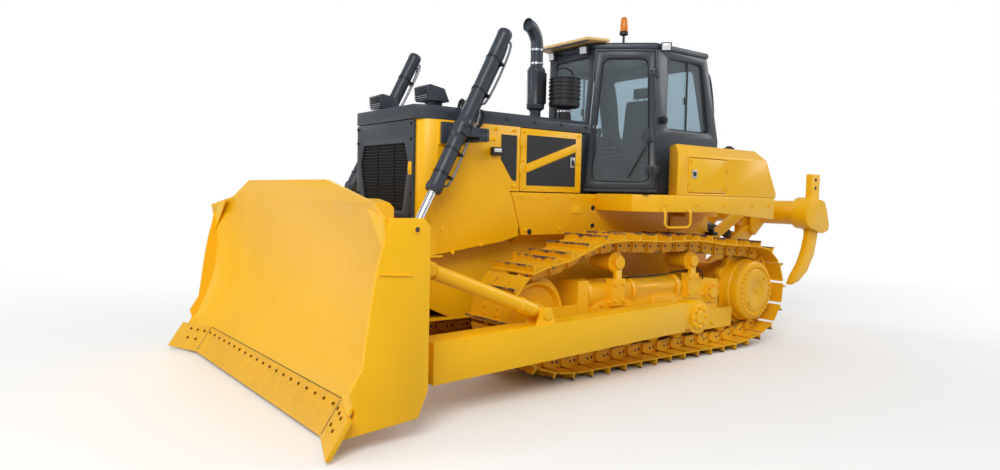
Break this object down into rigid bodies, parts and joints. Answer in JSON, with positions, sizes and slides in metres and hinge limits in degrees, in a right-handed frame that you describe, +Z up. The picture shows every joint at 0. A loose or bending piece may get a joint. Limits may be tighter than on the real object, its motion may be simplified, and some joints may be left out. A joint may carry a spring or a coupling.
{
  "type": "bulldozer",
  "caption": "Crawler bulldozer with tracks, a full-width curved blade on push arms, an enclosed angular cab and a rear ripper on parallel links.",
  "frame": {"origin": "on the ground, below the middle of the whole machine's outer box", "axes": "+X forward towards the blade, +Y to the machine's left, +Z up"},
  "size_m": [7.1483, 3.81, 3.53],
  "materials": {
    "yellow_paint": "gloss",
    "slate_paint": "satin",
    "black_paint": "satin",
    "black_plastic": "matte",
    "rod_chrome": "polished",
    "engine_metal": "matte",
    "cab_glass": "clear",
    "seat_fabric": "woven"
  },
  "bodies": {
    "chassis": {"main_frame": "yellow_paint", "engine_block": "engine_metal", "radiator_guard": "yellow_paint", "radiator_core": "black_paint", "hood": "slate_paint", "exhaust_stack": "slate_paint", "air_pre_cleaner": "black_plastic", "left_track": "yellow_paint", "right_track": "yellow_paint", "left_idler": "yellow_paint", "right_idler": "yellow_paint", "left_final_drive": "yellow_paint", "right_final_drive": "yellow_paint", "left_track_frame": "yellow_paint", "right_track_frame": "yellow_paint", "left_fender": "yellow_paint", "right_fender": "yellow_paint", "left_tank": "yellow_paint", "right_tank": "yellow_paint", "fuel_tank": "yellow_paint", "cab_shell": "slate_paint", "windscreen": "cab_glass", "rear_window": "cab_glass", "left_side_window": "cab_glass", "right_side_window": "cab_glass", "cab_roof": "slate_paint", "operator_seat": "seat_fabric", "control_console": "black_plastic", "left_cylinder_yoke": "slate_paint", "right_cylinder_yoke": "slate_paint"},
    "blade_assembly": {"blade": "yellow_paint", "cutting_edge": "yellow_paint", "left_push_arm": "yellow_paint", "right_push_arm": "yellow_paint", "left_blade_brace": "yellow_paint", "right_tilt_cylinder": "slate_paint"},
    "left_lift_barrel": {"left_lift_cylinder": "slate_paint"},
    "left_lift_piston_rod": {"left_lift_rod": "rod_chrome"},
    "right_lift_barrel": {"right_lift_cylinder": "slate_paint"},
    "right_lift_piston_rod": {"right_lift_rod": "rod_chrome"},
    "ripper_lower_arm": {"ripper_arm": "yellow_paint"},
    "ripper_toolbar": {"ripper_beam": "yellow_paint", "left_ripper_shank": "yellow_paint", "middle_ripper_shank": "yellow_paint", "right_ripper_shank": "yellow_paint"},
    "left_ripper_top_link": {"left_ripper_link": "yellow_paint"},
    "left_ripper_barrel": {"left_ripper_cylinder": "slate_paint"},
    "left_ripper_piston_rod": {"left_ripper_rod": "rod_chrome"},
    "right_ripper_top_link": {"right_ripper_link": "yellow_paint"},
    "right_ripper_barrel": {"right_ripper_cylinder": "slate_paint"},
    "right_ripper_piston_rod": {"right_ripper_rod": "rod_chrome"},
    "left_door": {"left_cab_door": "slate_paint", "left_door_glass": "cab_glass"},
    "right_door": {"right_cab_door": "slate_paint", "right_door_glass": "cab_glass"},
    "left_engine_side_door": {"left_engine_door": "yellow_paint"},
    "right_engine_side_door": {"right_engine_door": "yellow_paint"},
    "tank_door": {"tank_compartment_door": "yellow_paint"},
    "grille_door": {"radiator_grille": "black_paint"},
    "cooling_fan": {"radiator_fan": "yellow_paint"}
  },
  "joints": [
    {"name": "blade_lift", "type": "hinge", "parent": "chassis", "child": "blade_assembly", "pos_m": [-0.34, 0, 0.49], "axis": [0, -1, 0], "range_deg": [-8, 18]},
    {"name": "left_lift_swing", "type": "hinge", "parent": "chassis", "child": "left_lift_barrel", "pos_m": [1.884, 0.76, 2.139], "axis": [0, -1, 0], "range_deg": [-7, 16]},
    {"name": "left_lift_stroke", "type": "slide", "parent": "left_lift_barrel", "child": "left_lift_piston_rod", "axis": [0.4583, 0, -0.8888], "range_m": [-0.8681, 0.3869]},
    {"name": "right_lift_swing", "type": "hinge", "parent": "chassis", "child": "right_lift_barrel", "pos_m": [1.884, -0.76, 2.139], "axis": [0, -1, 0], "range_deg": [-7, 16]},
    {"name": "right_lift_stroke", "type": "slide", "parent": "right_lift_barrel", "child": "right_lift_piston_rod", "axis": [0.4583, 0, -0.8888], "range_m": [-0.8681, 0.3869]},
    {"name": "ripper_lift", "type": "hinge", "parent": "chassis", "child": "ripper_lower_arm", "pos_m": [-2.04, 0, 0.76], "axis": [0, -1, 0], "range_deg": [0, 57]},
    {"name": "ripper_beam_level", "type": "hinge", "parent": "ripper_lower_arm", "child": "ripper_toolbar", "pos_m": [-2.945, 0, 1.23], "axis": [0, -1, 0], "range_deg": [-58, 0]},
    {"name": "left_ripper_link_swing", "type": "hinge", "parent": "chassis", "child": "left_ripper_top_link", "pos_m": [-2.04, 0.362, 1.09], "axis": [0, -1, 0], "range_deg": [0, 58]},
    {"name": "left_ripper_cylinder_swing", "type": "hinge", "parent": "chassis", "child": "left_ripper_barrel", "pos_m": [-2.04, 0.19, 1.33], "axis": [0, -1, 0], "range_deg": [-1, 41]},
    {"name": "left_ripper_stroke", "type": "slide", "parent": "left_ripper_barrel", "child": "left_ripper_piston_rod", "axis": [-0.975, 0, -0.2223], "range_m": [-0.002, 0.4885]},
    {"name": "right_ripper_link_swing", "type": "hinge", "parent": "chassis", "child": "right_ripper_top_link", "pos_m": [-2.04, -0.362, 1.09], "axis": [0, -1, 0], "range_deg": [0, 58]},
    {"name": "right_ripper_cylinder_swing", "type": "hinge", "parent": "chassis", "child": "right_ripper_barrel", "pos_m": [-2.04, -0.19, 1.33], "axis": [0, -1, 0], "range_deg": [-1, 41]},
    {"name": "right_ripper_stroke", "type": "slide", "parent": "right_ripper_barrel", "child": "right_ripper_piston_rod", "axis": [-0.975, 0, -0.2223], "range_m": [-0.002, 0.4885]},
    {"name": "left_door_hinge", "type": "hinge", "parent": "chassis", "child": "left_door", "pos_m": [-0.546, 0.837, 1.665], "axis": [0.0215, -0.0215, 0.9995], "range_deg": [0, 90]},
    {"name": "right_door_hinge", "type": "hinge", "parent": "chassis", "child": "right_door", "pos_m": [-0.546, -0.837, 1.665], "axis": [-0.0215, -0.0215, -0.9995], "range_deg": [0, 90]},
    {"name": "left_engine_door_hinge", "type": "hinge", "parent": "chassis", "child": "left_engine_side_door", "pos_m": [1.1186, 0.622, 1.84], "axis": [0, 0, -1], "range_deg": [0, 95]},
    {"name": "right_engine_door_hinge", "type": "hinge", "parent": "chassis", "child": "right_engine_side_door", "pos_m": [1.1186, -0.622, 1.84], "axis": [0, 0, 1], "range_deg": [0, 95]},
    {"name": "tank_door_hinge", "type": "hinge", "parent": "chassis", "child": "tank_door", "pos_m": [-1.0976, 1.278, 1.842], "axis": [0, 0, 1], "range_deg": [0, 100]},
    {"name": "grille_hinge", "type": "hinge", "parent": "chassis", "child": "grille_door", "pos_m": [2.1754, -0.518, 1.8], "axis": [0, 0, 1], "range_deg": [-38, 0]},
    {"name": "fan_spin", "type": "hinge", "parent": "chassis", "child": "cooling_fan", "pos_m": [2.085, 0, 1.76], "axis": [1, 0, 0], "continuous": true}
  ],
  "couplings": [
    {"joint": "left_lift_swing", "follows": "blade_lift", "ratio": 0.823},
    {"joint": "left_lift_stroke", "follows": "blade_lift", "m_per_rad": -2.757},
    {"joint": "right_lift_swing", "follows": "blade_lift", "ratio": 0.823},
    {"joint": "right_lift_stroke", "follows": "blade_lift", "m_per_rad": -2.757},
    {"joint": "ripper_beam_level", "follows": "ripper_lift", "ratio": -1},
    {"joint": "left_ripper_link_swing", "follows": "ripper_lift", "ratio": 1},
    {"joint": "left_ripper_cylinder_swing", "follows": "ripper_lift", "ratio": 0.711},
    {"joint": "left_ripper_stroke", "follows": "ripper_lift", "m_per_rad": 0.489},
    {"joint": "right_ripper_link_swing", "follows": "ripper_lift", "ratio": 1},
    {"joint": "right_ripper_cylinder_swing", "follows": "ripper_lift", "ratio": 0.711},
    {"joint": "right_ripper_stroke", "follows": "ripper_lift", "m_per_rad": 0.489}
  ]
}
